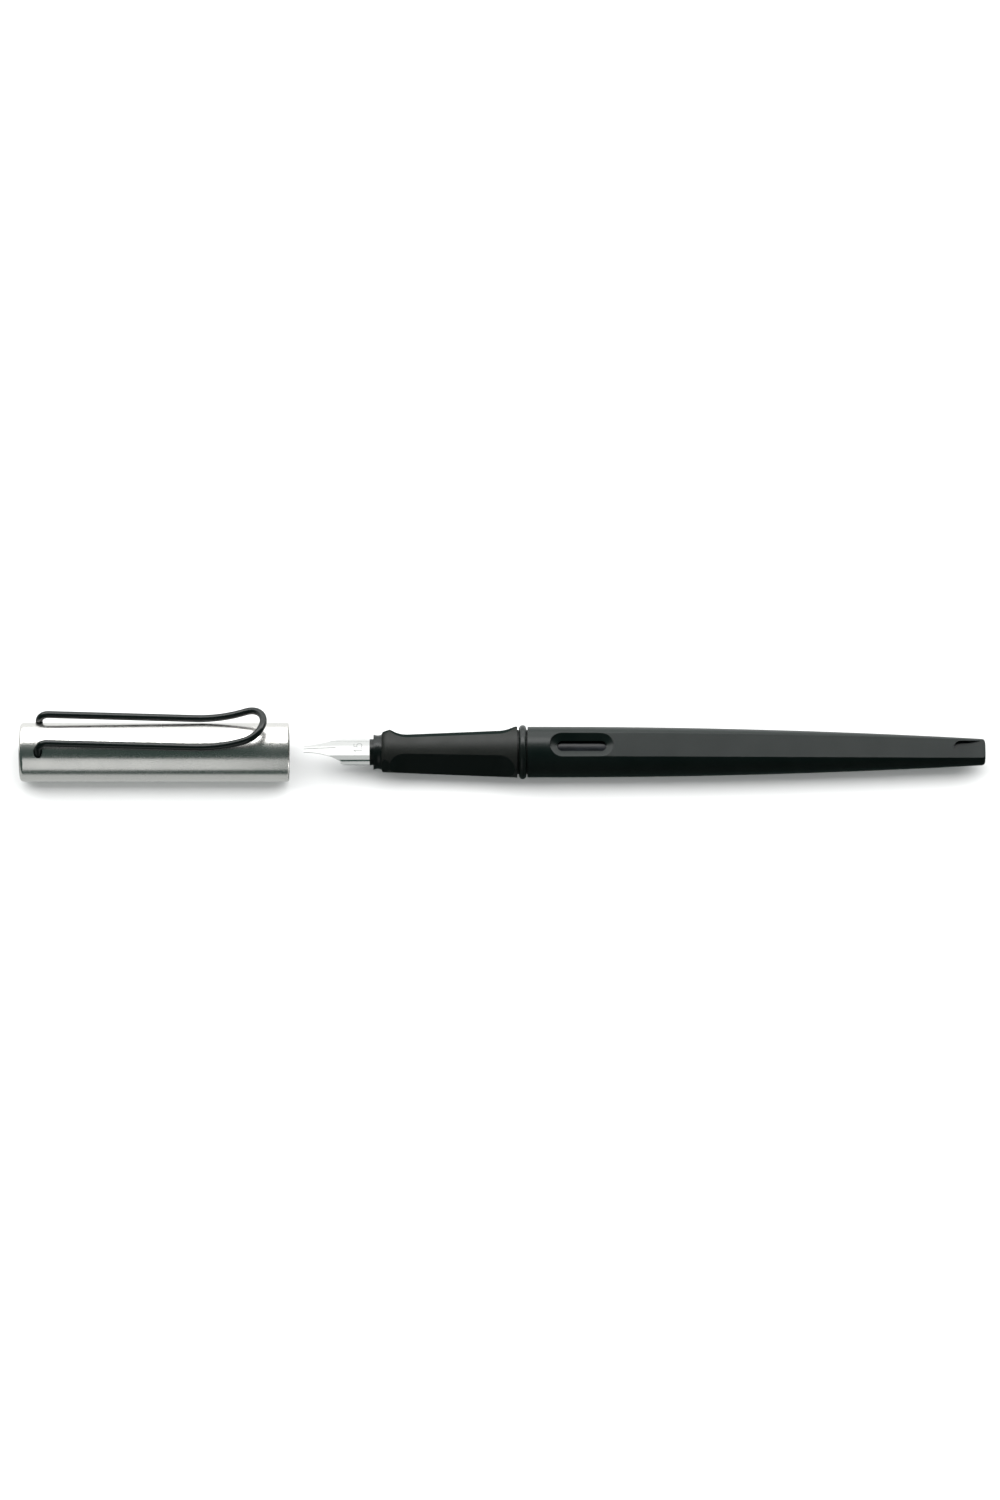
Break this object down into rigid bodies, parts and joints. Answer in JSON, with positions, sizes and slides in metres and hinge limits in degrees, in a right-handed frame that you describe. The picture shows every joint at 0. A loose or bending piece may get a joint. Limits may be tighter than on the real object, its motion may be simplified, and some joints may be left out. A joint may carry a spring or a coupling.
{
  "type": "fountain pen",
  "caption": "Cartridge calligraphy fountain pen with an italic nib, facetted grip, long tapered barrel and a push-on metal cap with a wire clip, laid in line uncapped.",
  "frame": {"origin": "On the pen's axis, at the middle of the barrel's plain round stretch, 2.5 mm behind the barrel's mouth.", "axes": "+X along the pen towards the tail, the cap lies in line at -X with its mouth facing the nib, +Z is the side that the nib's top faces."},
  "size_m": [0.2244, 0.0155, 0.018],
  "materials": {
    "barrel_plastic": "satin moulded plastic",
    "grip_plastic": "fine matte moulded texture",
    "snap_rubber": "satin black elastomer",
    "feed_plastic": "satin black plastic",
    "nib_steel": "polished stainless steel",
    "cap_aluminium": "brushed along its length, clear anodised",
    "liner_plastic": "moulded plastic",
    "clip_wire": "gloss black coated spring steel",
    "finial_plastic": "gloss black plastic",
    "cartridge_plastic": "dark ink seen through a thin plastic wall"
  },
  "bodies": {
    "barrel": {"barrel": "barrel_plastic"},
    "ring": {"snap_ring": "snap_rubber"},
    "grip": {"grip_section": "grip_plastic", "feed": "feed_plastic", "feed_core": "feed_plastic"},
    "nib": {"nib": "nib_steel"},
    "cartridge": {"cartridge": "cartridge_plastic", "cartridge_ball": "cartridge_plastic"},
    "cap": {"cap_sleeve": "cap_aluminium", "cap_liner": "liner_plastic", "clip_anchor": "liner_plastic", "cap_finial": "finial_plastic"},
    "clip": {"cap_clip": "clip_wire"}
  },
  "joints": [
    {"name": "thread_travel", "type": "slide", "parent": "barrel", "child": "ring", "axis": [-1, 0, 0], "range_m": [0, 0.005]},
    {"name": "barrel_unscrew", "type": "hinge", "parent": "ring", "child": "grip", "pos_m": [0, 0, 0], "axis": [-1, 0, 0], "range_deg": [0, 1440]},
    {"name": "cap_push_on", "type": "slide", "parent": "grip", "child": "cap", "axis": [1, 0, 0], "range_m": [0, 0.0555]},
    {"name": "clip_lift", "type": "hinge", "parent": "cap", "child": "clip", "pos_m": [-0.116, 0.00183, 0.00411], "axis": [0, -0.9135, 0.4067], "range_deg": [0, 3.5], "stiffness_Nm_per_rad": 0.8},
    {"name": "nib_pull", "type": "slide", "parent": "grip", "child": "nib", "axis": [-1, 0, 0], "range_m": [0, 0.006]},
    {"name": "cartridge_pull", "type": "slide", "parent": "grip", "child": "cartridge", "axis": [1, 0, 0], "range_m": [0, 0.0065]}
  ],
  "couplings": [
    {"joint": "barrel_unscrew", "follows": "thread_travel", "rad_per_m": 5026.5}
  ]
}
